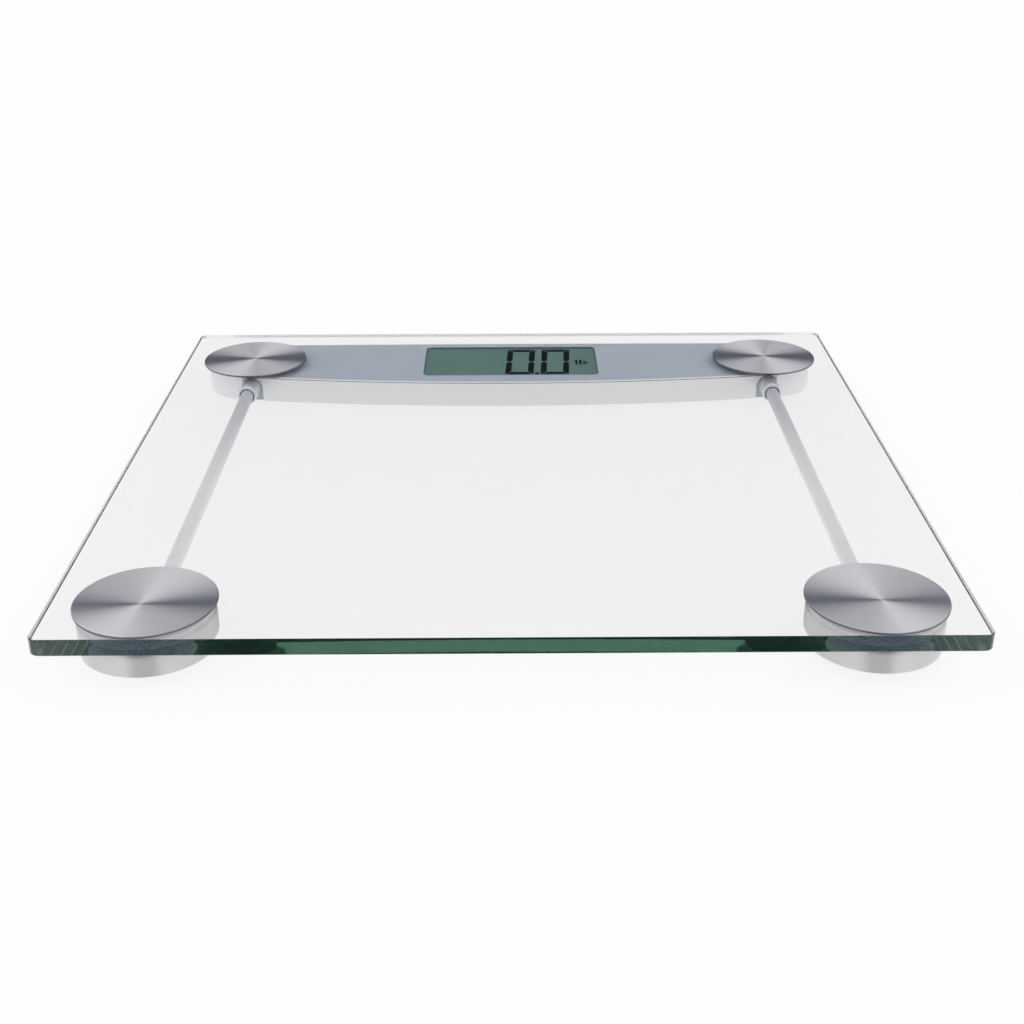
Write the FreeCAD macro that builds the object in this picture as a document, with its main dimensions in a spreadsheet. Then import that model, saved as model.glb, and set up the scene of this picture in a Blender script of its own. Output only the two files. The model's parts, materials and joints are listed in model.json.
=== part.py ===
import FreeCAD, Part

import math
import os
import re

import Sketcher

# A clear glass platform scale for one person. Everything hangs from the glass plate: two round
# pods under its front corners, a display bar under its rear edge, a wire tube on each side
# between them, and a spun disc over each of the four load cells.
#
# Millimetres, +Z up, +X to the reader's right, the display at the +Y side. The origin is on the
# floor under the middle of the glass, and the four rubber feet stand at height 0.

Vector = FreeCAD.Vector
PARTS_FOLDER = "parts"
Z_AXIS = Vector(0, 0, 1)
ALONG_Y = FreeCAD.Rotation(Vector(1, 0, 0), -90)

doc = FreeCAD.newDocument("glass_platform_scale")
sheet = doc.addObject("Spreadsheet::Sheet", "Params")

# alias, value in millimetres, what it is
DIMENSIONS = [
    ("glass_width", 311.5, "platform, left to right"),
    ("glass_depth", 300, "platform, front to rear"),
    ("glass_thick", 6, "platform thickness"),
    ("glass_corner", 3.5, "radius of the platform's corners"),
    ("glass_arris", 0.3, "ground-off edges of the platform"),
    ("glass_under", 14, "height of the platform's underside"),
    ("glue_line", 0.15, "gap between the underside and what is glued to it"),
    ("side_x", 122.5, "centre lines of the discs, pods, tubes and feet"),
    ("front_pod_y", 125.5, "front pods and discs, forward of the middle"),
    ("rear_disc_y", 112.5, "rear discs, behind the middle"),
    ("rear_foot_y", 117, "rear feet and load cells, behind the middle"),
    ("disc_radius", 24.2, "spun disc"),
    ("disc_thick", 0.75, "spun disc"),
    ("disc_lift", 0.05, "gap under the disc's rim"),
    ("disc_round", 0.25, "rounded upper edge of the disc"),
    ("tape_radius", 18, "double-sided tape under a disc"),
    ("tape_thick", 0.25, "double-sided tape"),
    ("pod_radius", 23.3, "outside of a front pod"),
    ("pod_low", 5, "height of the pods' lower rim"),
    ("shell_wall", 1.6, "side walls of the pods and the bar"),
    ("roof_thick", 1.2, "roofs of the pods and the bar"),
    ("pod_round", 2, "rounded upper edge of a pod"),
    ("rim_bevel", 0.45, "bevelled upper edge of the bar"),
    ("glue_radius", 18.3, "glue pad on a pod"),
    ("rear_glue_x", 122, "centres of the glue pads on the bar"),
    ("rear_glue_y", 116.5, "glue pads on the bar, behind the middle"),
    ("rear_glue_width", 42, "glue pad on the bar, left to right"),
    ("rear_glue_depth", 33, "glue pad on the bar, front to rear"),
    ("rear_glue_corner", 16.4, "glue pad on the bar, corners"),
    ("glue_seat", 0.3, "depth of the seat for a glue pad"),
    ("base_thick", 1.2, "pod's floor plate"),
    ("base_play", 0.1, "play round the pod's floor plate"),
    ("foot_hole", 14.6, "radius of the hole that a foot moves in"),
    ("hole_top", 6.2, "height of the rim that stops a foot from falling out"),
    ("plunger_radius", 14.2, "foot plunger"),
    ("flange_radius", 15.6, "plunger's retaining flange"),
    ("flange_low", 6.3, "height of the flange's underside"),
    ("flange_thick", 1, "plunger's retaining flange"),
    ("plunger_wall", 1.6, "plunger's walls and floor"),
    ("stem_radius", 3, "plunger's pressing stem"),
    ("stem_top", 8.3, "height of the stem's tip"),
    ("stem_bevel", 0.3, "bevelled tip of the stem"),
    ("rubber_radius", 14, "rubber foot pad"),
    ("rubber_thick", 2.2, "rubber foot pad"),
    ("tread_depth", 0.5, "grooves in the rubber"),
    ("inner_tread", 5, "inner radius of the inner groove"),
    ("outer_tread", 8.5, "inner radius of the outer groove"),
    ("tread_width", 1, "grooves in the rubber"),
    ("cell_side", 26, "load cell plate"),
    ("cell_corner", 4, "load cell's corners"),
    ("cell_thick", 2, "load cell plate"),
    ("cell_low", 9, "height of the load cell's underside"),
    ("beam_half", 4, "half the width of the cell's bending beam"),
    ("cell_window", 9.5, "reach of the cell's windows from its centre"),
    ("arm_root", 12, "where a cell's screw arms start, from its centre"),
    ("ear_reach", 17.6, "load cell's screws from its centre"),
    ("ear_radius", 2.4, "load cell's ears and the posts above them"),
    ("screw_shank", 0.9, "radius of the small screws"),
    ("screw_head", 1.5, "radius of their heads"),
    ("head_thick", 0.7, "their heads"),
    ("head_play", 0.3, "play round a sunk head"),
    ("head_lift", 0.05, "how far a sunk head lies inside its seat"),
    ("cross_reach", 0.9, "half the length of a cross recess"),
    ("cross_half", 0.18, "half the width of a cross recess"),
    ("cross_depth", 0.4, "depth of a cross recess"),
    ("cell_screw_top", 13, "height of the load cell screws' tips"),
    ("base_screw_length", 4.5, "pod's floor screws, over the rim"),
    ("cover_screw_length", 5.5, "cover's screws, over the rim"),
    ("board_screw_length", 4, "board's screws, over the board's underside"),
    ("base_pilot", 4, "depth of the pilot holes for the pod's floor screws"),
    ("cover_pilot", 5, "depth of the pilot holes for the cover's screws"),
    ("board_pilot", 3, "depth of the pilot holes for the board's screws"),
    ("base_post_reach", 19.2, "pod's floor screws from its centre"),
    ("base_post_radius", 2.3, "posts for them"),
    ("gauge_length", 6, "strain gauge with its coating, left to right"),
    ("gauge_depth", 5, "front to rear"),
    ("gauge_thick", 0.8, "strain gauge with its coating"),
    ("bar_front", 85.8, "bar's front edge on the centre line"),
    ("bar_back", 139.6, "bar's rear edge on the centre line"),
    ("bar_low", 2, "height of the bar's lower rim"),
    ("end_x", 123.5, "centres of the bar's round ends"),
    ("end_y", 117, "centres of the bar's round ends"),
    ("end_radius", 21.9, "radius of the bar's round ends"),
    ("cover_thick", 1.5, "bar's cover"),
    ("cover_play", 0.2, "play round the cover"),
    ("collar_wall", 1.8, "rims round the foot holes in the cover"),
    ("tube_radius", 2.9, "wire tube, outside"),
    ("tube_bore", 2.2, "wire tube, inside"),
    ("tube_height", 8.65, "height of the tubes' centre lines"),
    ("tube_front", 103.7, "tubes' front ends, forward of the middle"),
    ("tube_rear", 96, "tubes' rear ends, behind the middle"),
    ("tube_play", 0.05, "play between a tube and its hole"),
    ("arch_radius", 5.6, "arched recess in the bar's wall, round a tube's ring"),
    ("arch_height", 7.7, "height of the centre of the recess's arch"),
    ("arch_floor", 95.25, "floor of the recess, behind the middle"),
    ("ring_radius", 4.4, "ring round a tube, outside"),
    ("ring_front", 82.4, "front of the ring"),
    ("ring_bevel", 0.6, "bevelled shoulder of the ring"),
    ("lip_radius", 3.9, "narrower mouth of the ring, outside"),
    ("lip_bore", 3.4, "narrower mouth of the ring, inside"),
    ("lip_length", 1.2, "narrower mouth of the ring"),
    ("mouth_depth", 5, "depth of the ring's mouth round the tube"),
    ("lip_bevel", 0.2, "bevelled edges of the mouth"),
    ("display_x", 0.6, "centre of the display"),
    ("display_y", 114.8, "centre of the display"),
    ("window_width", 82.4, "window in the bar's roof"),
    ("window_depth", 38.8, "window in the bar's roof"),
    ("window_corner", 2.5, "window's corners"),
    ("window_bevel", 0.35, "window's bevelled edge"),
    ("lcd_width", 88, "liquid crystal panel"),
    ("lcd_depth", 43, "liquid crystal panel"),
    ("lcd_thick", 2, "liquid crystal panel"),
    ("lcd_low", 11.05, "height of its underside"),
    ("lcd_play", 0.3, "play round the panel"),
    ("seat_top", 13.1, "height of the rebate that the panel lies in"),
    ("frame_width", 92, "panel holder"),
    ("frame_depth", 45, "panel holder"),
    ("frame_hole_width", 80, "opening in the holder"),
    ("frame_hole_depth", 35, "opening in the holder"),
    ("zebra_length", 82, "contact strips"),
    ("zebra_width", 2, "contact strips"),
    ("frame_corner", 1, "panel holder's corners"),
    ("zebra_reach", 19.5, "contact strips from the display's centre"),
    ("zebra_play", 0.1, "play round the contact strips"),
    ("board_left", 56, "board's left edge, left of the middle"),
    ("board_right", 86, "board's right edge"),
    ("board_front", 93.5, "board's front edge"),
    ("board_rear", 136, "board's rear edge"),
    ("board_low", 7.1, "height of the board's underside"),
    ("board_thick", 1.5, "circuit board"),
    ("board_post", 2.2, "radius of the board's posts"),
    ("cover_post", 2.6, "radius of the cover's posts"),
    ("front_post", 2, "radius of the two posts at the bar's front wall"),
    ("battery_x", 70, "coin cell's centre"),
    ("battery_y", 115, "coin cell's centre"),
    ("battery_radius", 10, "coin cell"),
    ("battery_thick", 3.2, "coin cell"),
    ("battery_top", 6.9, "height of the coin cell's upper face"),
    ("well_radius", 10.3, "well that holds the coin cell"),
    ("cell_round", 0.4, "coin cell's lower edge"),
    ("cell_step", 0.5, "step in the coin cell's upper face"),
    ("blade_slot", 2.2, "slot beside the coin cell for its side contact, outward"),
    ("blade_half", 2, "half the width of the battery contacts"),
    ("slot_play", 0.4, "play at each end of that slot"),
    ("blade_gap", 0.05, "gap between the coin cell and its side contact"),
    ("blade_thick", 0.3, "side contact"),
    ("blade_rise", 0.6, "height of the side contact's foot over the cover"),
    ("tab_reach", 4, "reach of the side contact's tab from the coin cell"),
    ("spring_reach", 7, "half the length of the contact over the coin cell"),
    ("block_left", 54.2, "battery block"),
    ("block_right", 86, "battery block"),
    ("block_front", 100.6, "battery block"),
    ("block_rear", 129.4, "battery block"),
    ("door_width", 23.4, "battery door, front to rear"),
    ("door_end", 83.2, "free edge of the battery door"),
    ("door_thick", 1.4, "battery door"),
    ("door_play", 0.3, "play round the door"),
    ("hinge_x", 57, "door's hinge line"),
    ("hinge_height", 3, "door's hinge line"),
    ("knuckle_radius", 1, "door's knuckle"),
    ("hinge_pin", 0.5, "radius of the knuckle's pins"),
    ("pin_length", 1.5, "length of the knuckle's pins"),
    ("pin_play", 0.07, "play round the pins"),
    ("notch_radius", 5, "finger notch beside the door"),
    ("grip_half", 6, "half the length of the door's grip grooves"),
    ("grip_width", 0.8, "grip grooves"),
    ("grip_depth", 0.4, "grip grooves"),
    ("button_x", 34, "unit button, left of the middle"),
    ("button_y", 115, "unit button, behind the middle"),
    ("button_radius", 3.6, "unit button"),
    ("button_play", 0.4, "play round the unit button"),
    ("button_low", 1.7, "height of the button's face"),
    ("button_flange", 4.9, "button's retaining flange"),
    ("button_stem_top", 4.4, "height of the button's stem"),
    ("switch_side", 6, "switch body"),
    ("switch_low", 5.1, "height of the switch body's underside"),
    ("switch_plunger", 1.6, "radius of the switch's own plunger"),
    ("plunger_length", 1.1, "switch's own plunger"),
    ("plunger_play", 0.15, "play round the switch's own plunger"),
    ("guide_depth", 1.2, "depth of the hole that it moves in"),
    ("face_round", 0.3, "button's rounded outer edge"),
    ("face_dish", 0.25, "depth of the dish in the button's face"),
    ("flange_gap", 0.1, "gap between the cover and the button's flange"),
    ("flange_top", 0.6, "top of the button's flange over the cover"),
    ("lead_radius", 0.5, "bundle of three thin wires"),
    ("lead_lift", 0.1, "height of the bundle over the plates that it lies on"),
    ("climb_start", 14.5, "a front lead leaves its plate, from the pod's centre"),
    ("climb_end", 19.5, "a front lead reaches the tube's height, from the pod's centre"),
    ("front_turn_y", 94.9, "a front lead turns inside the bar, behind the middle"),
    ("front_step_x", 4.2, "how far it then goes towards the centre line"),
    ("front_step_y", 99.1, "where it turns again, behind the middle"),
    ("front_pad_y", 98.9, "front leads' pads on the board, behind the middle"),
    ("rear_start_y", 1.5, "start of a rear lead, behind the foot's centre"),
    ("rear_pad_y", 6.5, "rear leads' pads on the board, behind the foot's centre"),
    ("rear_step_x", 14.5, "first bend of a rear lead, from the foot's centre"),
    ("rear_dip_x", 24.5, "second bend of a rear lead, from the foot's centre"),
    ("rear_dip_y", 7.5, "second bend of a rear lead, behind the foot's centre"),
    ("rear_dip", 1.1, "how far a rear lead dips there"),
]
ALIASES = {alias for alias, _, _ in DIMENSIONS}

for row, (alias, number, note) in enumerate(DIMENSIONS, start=1):
    sheet.set(f"A{row}", note)
    sheet.set(f"B{row}", str(number))
    sheet.setAlias(f"B{row}", alias)
doc.recompute()

# Heights and radii that several pieces share
ROOF_TOP = "(glass_under - glue_line)"
ROOF_LOW = "(glass_under - glue_line - roof_thick)"
GLASS_TOP = "(glass_under + glass_thick)"
CELL_TOP = "(cell_low + cell_thick)"
COVER_TOP = "(bar_low + cover_thick)"
BOARD_TOP = "(board_low + board_thick)"
FRONT_RISE = "(end_y - bar_front)"
BACK_RISE = "(bar_back - end_y)"

SIDES = {"left": -1, "right": 1}
CORNERS = [(f"{end}_{side}", end, sign) for end in ("front", "rear") for side, sign in SIDES.items()]
BASE_SCREW_ANGLES = (30, 150, 270)
COVER_POSTS = [(-97, 104.5), (97, 104.5), (-97, 132), (97, 132)]
FRONT_POSTS = [(-20, 90), (20, 90)]
BOARD_POSTS = [(-52, 131), (82, 131), (52, 98.5)]
# Where each side's wires reach the circuit board
BOARD_PADS = {"left": 50, "right": 80}
# The battery door's grip grooves, back from its free edge
GRIP_PLACES = (2, 4, 6)

nodes = []


def in_sheet(text):
    """The expression with each alias pointing into the sheet."""
    return re.sub(r"[a-z][a-z_]+", lambda m: f"Params.{m[0]}" if m[0] in ALIASES else m[0], str(text))


def value(text):
    """The number that an expression stands for."""
    return float(sheet.evalExpression(in_sheet(text)))


def bind(item, **properties):
    """Bind properties of a document object to expressions over the sheet."""
    for name, text in properties.items():
        item.setExpression(name, in_sheet(text))


def place(item, x="0", y="0", z="0"):
    """Bind where an object stands."""
    for letter, text in zip("xyz", (x, y, z)):
        item.setExpression(f"Placement.Base.{letter}", in_sheet(text))


def node(item, name):
    """Name an object as one sub-part of the scale."""
    item.Label = name
    nodes.append(item)
    return item


# ---------------------------------------------------------------- sketches and features

def new_body(name):
    return doc.addObject("PartDesign::Body", name)


def origin_item(body, role):
    return next(item for item in body.Origin.OriginFeatures if item.Role == role)


def new_sketch(body, plane="XY_Plane", shift="0"):
    """A sketch on a plane of the body, moved along the plane's normal: up from XY, forward from XZ."""
    sketch = body.newObject("Sketcher::SketchObject", "Sketch")
    sketch.AttachmentSupport = (origin_item(body, plane), [""])
    sketch.MapMode = "FlatFace"
    sketch.setExpression("AttachmentOffset.Base.z", in_sheet(shift))
    return sketch


def limit(sketch, kind, *where, size):
    """One dimension in a sketch, bound to an expression."""
    index = sketch.addConstraint(Sketcher.Constraint(kind, *where, value(size)))
    sketch.setExpression(f"Constraints[{index}]", in_sheet(size))


def pin(sketch, geometry, point, x, y):
    limit(sketch, "DistanceX", geometry, point, size=x)
    limit(sketch, "DistanceY", geometry, point, size=y)


def circle(sketch, x, y, radius):
    centre = Vector(value(x), value(y), 0)
    ring = sketch.addGeometry(Part.Circle(centre, Z_AXIS, value(radius)))
    pin(sketch, ring, 3, x, y)
    limit(sketch, "Radius", ring, size=radius)


def polygon(sketch, points):
    corners = [Vector(value(x), value(y), 0) for x, y in points]
    count = len(corners)
    lines = []
    for index in range(count):
        line = Part.LineSegment(corners[index], corners[(index + 1) % count])
        lines.append(sketch.addGeometry(line))
    for index in range(count):
        following = lines[(index + 1) % count]
        sketch.addConstraint(Sketcher.Constraint("Coincident", lines[index], 2, following, 1))
        pin(sketch, lines[index], 1, *points[index])


def rectangle(sketch, left, right, front, rear):
    polygon(sketch, [(left, front), (right, front), (right, rear), (left, rear)])


def arc_piece(centre, radius, start, end):
    return Part.ArcOfCircle(Part.Circle(centre, Z_AXIS, radius), start, end)


def rounded_rectangle(sketch, x, y, width, depth, corner):
    """Four corner arcs joined by tangent lines, counter-clockwise from the right front corner."""
    radius = value(corner)
    arcs = []
    for step, (side, end) in enumerate([(1, -1), (1, 1), (-1, 1), (-1, -1)]):
        centre_x = f"{x} + ({side}) * ({width} / 2 - {corner})"
        centre_y = f"{y} + ({end}) * ({depth} / 2 - {corner})"
        centre = Vector(value(centre_x), value(centre_y), 0)
        start = (step - 1) * math.pi / 2
        arc = sketch.addGeometry(arc_piece(centre, radius, start, start + math.pi / 2))
        pin(sketch, arc, 3, centre_x, centre_y)
        limit(sketch, "Radius", arc, size=corner)
        arcs.append(arc)
    for index, arc in enumerate(arcs):
        following = arcs[(index + 1) % 4]
        start = sketch.getPoint(arc, 2)
        end = sketch.getPoint(following, 1)
        line = sketch.addGeometry(Part.LineSegment(start, end))
        sketch.addConstraint(Sketcher.Constraint("Tangent", arc, 2, line, 1))
        sketch.addConstraint(Sketcher.Constraint("Tangent", line, 2, following, 1))


def bar_outline(sketch, inset):
    """The bar's outline, or a line inset from it: two long shallow arcs and two round ends, all tangent."""
    end = f"(end_radius - ({inset}))"
    reach = "end_x * end_x - end_radius * end_radius"
    front = f"(({FRONT_RISE} * {FRONT_RISE} + {reach}) / (2 * ({FRONT_RISE} - end_radius)) - ({inset}))"
    back = f"(({BACK_RISE} * {BACK_RISE} + {reach}) / (2 * ({BACK_RISE} - end_radius)) - ({inset}))"
    front_centre = Vector(0, value(f"bar_front + ({inset}) + {front}"), 0)
    back_centre = Vector(0, value(f"bar_back - ({inset}) - {back}"), 0)
    front_tilt = math.asin(value("end_x") / (value(front) - value(end)))
    back_tilt = math.asin(value("end_x") / (value(back) - value(end)))
    right_end = Vector(value("end_x"), value("end_y"), 0)
    left_end = Vector(-value("end_x"), value("end_y"), 0)
    quarter = math.pi / 2
    arcs = [
        arc_piece(front_centre, value(front), -quarter - front_tilt, -quarter + front_tilt),
        arc_piece(right_end, value(end), -quarter + front_tilt, quarter - back_tilt),
        arc_piece(back_centre, value(back), quarter - back_tilt, quarter + back_tilt),
        arc_piece(left_end, value(end), quarter + back_tilt, 3 * quarter - front_tilt),
    ]
    index = [sketch.addGeometry(arc) for arc in arcs]
    for step in range(4):
        joint = Sketcher.Constraint("Tangent", index[step], 2, index[(step + 1) % 4], 1)
        sketch.addConstraint(joint)
    pin(sketch, index[1], 3, "end_x", "end_y")
    pin(sketch, index[3], 3, "-end_x", "end_y")
    for arc, radius in zip(index, (front, end, back, end)):
        limit(sketch, "Radius", arc, size=radius)


def pad(body, sketch, length, backward=False):
    """Add material along the sketch's normal, or against it."""
    feature = body.newObject("PartDesign::Pad", "Pad")
    feature.Profile = sketch
    bind(feature, Length=length)
    feature.Reversed = backward
    return feature


def pocket(body, sketch, length, forward=False):
    """Cut against the sketch's normal, or along it."""
    feature = body.newObject("PartDesign::Pocket", "Pocket")
    feature.Profile = sketch
    bind(feature, Length=length)
    feature.Reversed = forward
    return feature


def turned(name, outline):
    """A body turned about its Z axis from an outline of radius and height."""
    body = new_body(name)
    sketch = new_sketch(body, "XZ_Plane")
    polygon(sketch, outline)
    turn = body.newObject("PartDesign::Revolution", "Revolution")
    turn.Profile = sketch
    turn.ReferenceAxis = (sketch, ["V_Axis"])
    turn.Angle = 360
    return body


def edges_where(shape, test):
    return [f"Edge{number}" for number, edge in enumerate(shape.Edges, start=1) if test(edge)]


def dress(body, kind, size, test):
    """Round or bevel the edges of a body's last feature that pass a test."""
    doc.recompute()
    base = body.Tip
    feature = body.newObject(f"PartDesign::{kind}", kind)
    feature.Base = (base, edges_where(base.Shape, test))
    bind(feature, **{"Radius" if kind == "Fillet" else "Size": size})
    return feature


def lies_at(height):
    """A test for edges that lie in the level plane at a height."""
    level = value(height)
    return lambda edge: edge.BoundBox.ZLength < 1e-4 and abs(edge.BoundBox.ZMin - level) < 1e-4


def upright(edge):
    return edge.BoundBox.XLength < 1e-4 and edge.BoundBox.YLength < 1e-4


# ---------------------------------------------------------------- plain solids and booleans

def cylinder(x, y, low, radius, height):
    item = doc.addObject("Part::Cylinder", "Cylinder")
    bind(item, Radius=radius, Height=height)
    place(item, x, y, low)
    return item


def cylinder_along_y(x, front, z, radius, length):
    item = cylinder(x, front, z, radius, length)
    item.Placement = FreeCAD.Placement(item.Placement.Base, ALONG_Y)
    place(item, x, front, z)
    return item


def box(left, right, front, rear, low, high):
    item = doc.addObject("Part::Box", "Box")
    bind(item, Length=f"({right}) - ({left})", Width=f"({rear}) - ({front})", Height=f"({high}) - ({low})")
    place(item, left, front, low)
    return item


def fused(items):
    item = doc.addObject("Part::MultiFuse", "Fusion")
    item.Shapes = items
    return item


def cut(base, tool):
    item = doc.addObject("Part::Cut", "Cut")
    item.Base = base
    item.Tool = tool
    return item


def group(items, name):
    """Separate solids in one node."""
    item = doc.addObject("Part::Compound", "Compound")
    item.Links = items
    return node(item, name)


def screw(x, y, head_low, tip):
    """A pan-head screw driven upwards, with a cross recess in the head."""
    head = cylinder(x, y, head_low, "screw_head", "head_thick")
    shank = cylinder(x, y, f"{head_low} + head_thick", "screw_shank", f"{tip} - ({head_low}) - head_thick")
    arms = [
        box(f"{x} - {half_x}", f"{x} + {half_x}", f"{y} - {half_y}", f"{y} + {half_y}", head_low,
            f"{head_low} + cross_depth")
        for half_x, half_y in (("cross_reach", "cross_half"), ("cross_half", "cross_reach"))
    ]
    return cut(fused([head, shank]), fused(arms))


def sink_heads(body, low, places):
    """Seats from below for screw heads."""
    seats = new_sketch(body, shift=f"{low} + head_lift + head_thick")
    for x, y in places:
        circle(seats, x, y, "screw_head + head_play")
    pocket(body, seats, "head_lift + head_thick")


# ---------------------------------------------------------------- platform, discs and glue

def corner_y(end, rear="rear_foot_y"):
    """How far behind the middle a corner's pieces stand."""
    return "-front_pod_y" if end == "front" else rear


def make_platform():
    body = new_body("Platform")
    sketch = new_sketch(body, shift="glass_under")
    rectangle(sketch, "-glass_width / 2", "glass_width / 2", "-glass_depth / 2", "glass_depth / 2")
    pad(body, sketch, "glass_thick")
    dress(body, "Fillet", "glass_corner", upright)
    dress(body, "Chamfer", "glass_arris",
          lambda edge: lies_at("glass_under")(edge) or lies_at(GLASS_TOP)(edge))
    node(body, "glass_platform")


def make_disc(corner, end, sign):
    """A thin disc with a seat for tape under it."""
    body = new_body("Disc")
    sketch = new_sketch(body, shift=f"{GLASS_TOP} + disc_lift")
    circle(sketch, "0", "0", "disc_radius")
    pad(body, sketch, "disc_thick")
    seat = new_sketch(body, shift=f"{GLASS_TOP} + tape_thick")
    circle(seat, "0", "0", "tape_radius")
    pocket(body, seat, "tape_thick")
    dress(body, "Fillet", "disc_round", lies_at(f"{GLASS_TOP} + disc_lift + disc_thick"))
    place(body, f"{sign} * side_x", corner_y(end, "rear_disc_y"))
    node(body, f"cap_disc_{corner}")
    tape = cylinder(f"{sign} * side_x", corner_y(end, "rear_disc_y"), GLASS_TOP, "tape_radius", "tape_thick")
    node(tape, f"cap_tape_{corner}")


def rear_glue_outline(sketch, sign):
    """An oval that reaches inward from above a rear load cell."""
    rounded_rectangle(sketch, f"{sign} * rear_glue_x", "rear_glue_y", "rear_glue_width", "rear_glue_depth",
                      "rear_glue_corner")


def make_glue(corner, end, sign):
    """A round pad on a front pod, or an oval one on the bar."""
    glue = new_body("Glue")
    sketch = new_sketch(glue, shift=f"{ROOF_TOP} - glue_seat")
    if end == "front":
        circle(sketch, f"{sign} * side_x", "-front_pod_y", "glue_radius")
    else:
        rear_glue_outline(sketch, sign)
    pad(glue, sketch, "glue_seat + glue_line")
    node(glue, f"glue_pad_{corner}")


# ---------------------------------------------------------------- front pods

def base_screw_places():
    for angle in BASE_SCREW_ANGLES:
        turn = math.radians(angle)
        yield f"{math.cos(turn):.6f} * base_post_reach", f"{math.sin(turn):.6f} * base_post_reach"


def make_pod(side, sign):
    """A round cup, open below, with posts for the load cell and for its floor plate."""
    inside = "(pod_radius - shell_wall)"
    body = new_body("Pod")
    outline = new_sketch(body, shift="pod_low")
    circle(outline, "0", "0", "pod_radius")
    pad(body, outline, f"{ROOF_TOP} - pod_low")
    hollow = new_sketch(body, shift=ROOF_LOW)
    circle(hollow, "0", "0", inside)
    pocket(body, hollow, f"{ROOF_LOW} - pod_low")
    seat = new_sketch(body, shift=ROOF_TOP)
    circle(seat, "0", "0", "glue_radius")
    pocket(body, seat, "glue_seat")
    ears = new_sketch(body, shift=CELL_TOP)
    for reach in ("ear_reach", "-ear_reach"):
        circle(ears, reach, "0", "ear_radius")
    pad(body, ears, f"{ROOF_LOW} - {CELL_TOP}")
    posts = new_sketch(body, shift="pod_low + base_thick")
    for x, y in base_screw_places():
        circle(posts, x, y, "base_post_radius")
    pad(body, posts, f"{ROOF_LOW} - pod_low - base_thick")
    pilots = new_sketch(body, shift="pod_low + base_thick")
    for x, y in base_screw_places():
        circle(pilots, x, y, "screw_shank")
    pocket(body, pilots, "base_pilot", forward=True)
    ear_pilots = new_sketch(body, shift=CELL_TOP)
    for reach in ("ear_reach", "-ear_reach"):
        circle(ear_pilots, reach, "0", "screw_shank")
    pocket(body, ear_pilots, f"cell_screw_top - {CELL_TOP}", forward=True)
    wire_hole = new_sketch(body, "XZ_Plane", "-ear_reach")
    circle(wire_hole, "0", "tube_height", "tube_radius + tube_play")
    pocket(body, wire_hole, "pod_radius")
    outer = value("pod_radius")
    dress(body, "Fillet", "pod_round",
          lambda edge: lies_at(ROOF_TOP)(edge) and abs(edge.BoundBox.XLength - 2 * outer) < 0.1)
    place(body, f"{sign} * side_x", "-front_pod_y")
    node(body, f"pod_shell_{side}")


def make_pod_base(side, sign):
    """The pod's floor plate, with the hole that its foot moves in."""
    body = new_body("PodBase")
    plate = new_sketch(body, shift="pod_low")
    circle(plate, "0", "0", "pod_radius - shell_wall - base_play")
    circle(plate, "0", "0", "foot_hole")
    for x, y in base_screw_places():
        circle(plate, x, y, "screw_shank")
    pad(body, plate, "base_thick")
    sink_heads(body, "pod_low", base_screw_places())
    place(body, f"{sign} * side_x", "-front_pod_y")
    node(body, f"pod_base_{side}")


# ---------------------------------------------------------------- load cells and feet

def make_load_cell(corner, end, sign):
    """A steel plate with two windows, which leave a bending beam, and a screw ear at each side."""
    body = new_body("LoadCell")
    plate = new_sketch(body, shift="cell_low")
    rounded_rectangle(plate, "0", "0", "cell_side", "cell_side", "cell_corner")
    pad(body, plate, "cell_thick")
    ears = new_sketch(body, shift="cell_low")
    for reach in ("ear_reach", "-ear_reach"):
        circle(ears, reach, "0", "ear_radius")
    pad(body, ears, "cell_thick")
    arms = new_sketch(body, shift="cell_low")
    rectangle(arms, "arm_root", "ear_reach", "-ear_radius", "ear_radius")
    rectangle(arms, "-ear_reach", "-arm_root", "-ear_radius", "ear_radius")
    pad(body, arms, "cell_thick")
    windows = new_sketch(body, shift=CELL_TOP)
    rectangle(windows, "beam_half", "cell_window", "-cell_window", "cell_window")
    rectangle(windows, "-cell_window", "-beam_half", "-cell_window", "cell_window")
    for reach in ("ear_reach", "-ear_reach"):
        circle(windows, reach, "0", "screw_shank")
    pocket(body, windows, "cell_thick")
    x = f"{sign} * side_x"
    y = corner_y(end)
    place(body, x, y)
    node(body, f"load_cell_{corner}")
    gauge = box(f"{x} - gauge_length / 2", f"{x} + gauge_length / 2", f"{y} - gauge_depth / 2",
                f"{y} + gauge_depth / 2", CELL_TOP, f"{CELL_TOP} + gauge_thick")
    node(gauge, f"strain_gauge_{corner}")


def make_foot(corner, end, sign):
    """A plunger that presses the cell's beam from below, and its rubber pad."""
    flange_top = "flange_low + flange_thick"
    floor = "rubber_thick + plunger_wall"
    rim = "plunger_radius - plunger_wall"
    boss = "stem_radius + plunger_wall"
    plunger = turned("Plunger", [
        ("0", "rubber_thick"), ("plunger_radius", "rubber_thick"), ("plunger_radius", "flange_low"),
        ("flange_radius", "flange_low"), ("flange_radius", flange_top), (rim, flange_top), (rim, floor),
        (boss, floor), (boss, flange_top), ("stem_radius", flange_top),
        ("stem_radius", "stem_top - stem_bevel"), ("stem_radius - stem_bevel", "stem_top"),
        ("0", "stem_top"),
    ])
    x = f"{sign} * side_x"
    y = corner_y(end)
    place(plunger, x, y)
    node(plunger, f"foot_plunger_{corner}")
    tread = []
    for inner in ("inner_tread", "outer_tread"):
        outer = f"{inner} + tread_width"
        tread += [(inner, "0"), (inner, "tread_depth"), (outer, "tread_depth"), (outer, "0")]
    rubber = turned("Rubber", [("0", "0")] + tread + [
        ("rubber_radius - tread_depth", "0"), ("rubber_radius", "tread_depth"),
        ("rubber_radius", "rubber_thick"), ("0", "rubber_thick"),
    ])
    place(rubber, x, y)
    node(rubber, f"foot_pad_{corner}")


# ---------------------------------------------------------------- display bar

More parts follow.
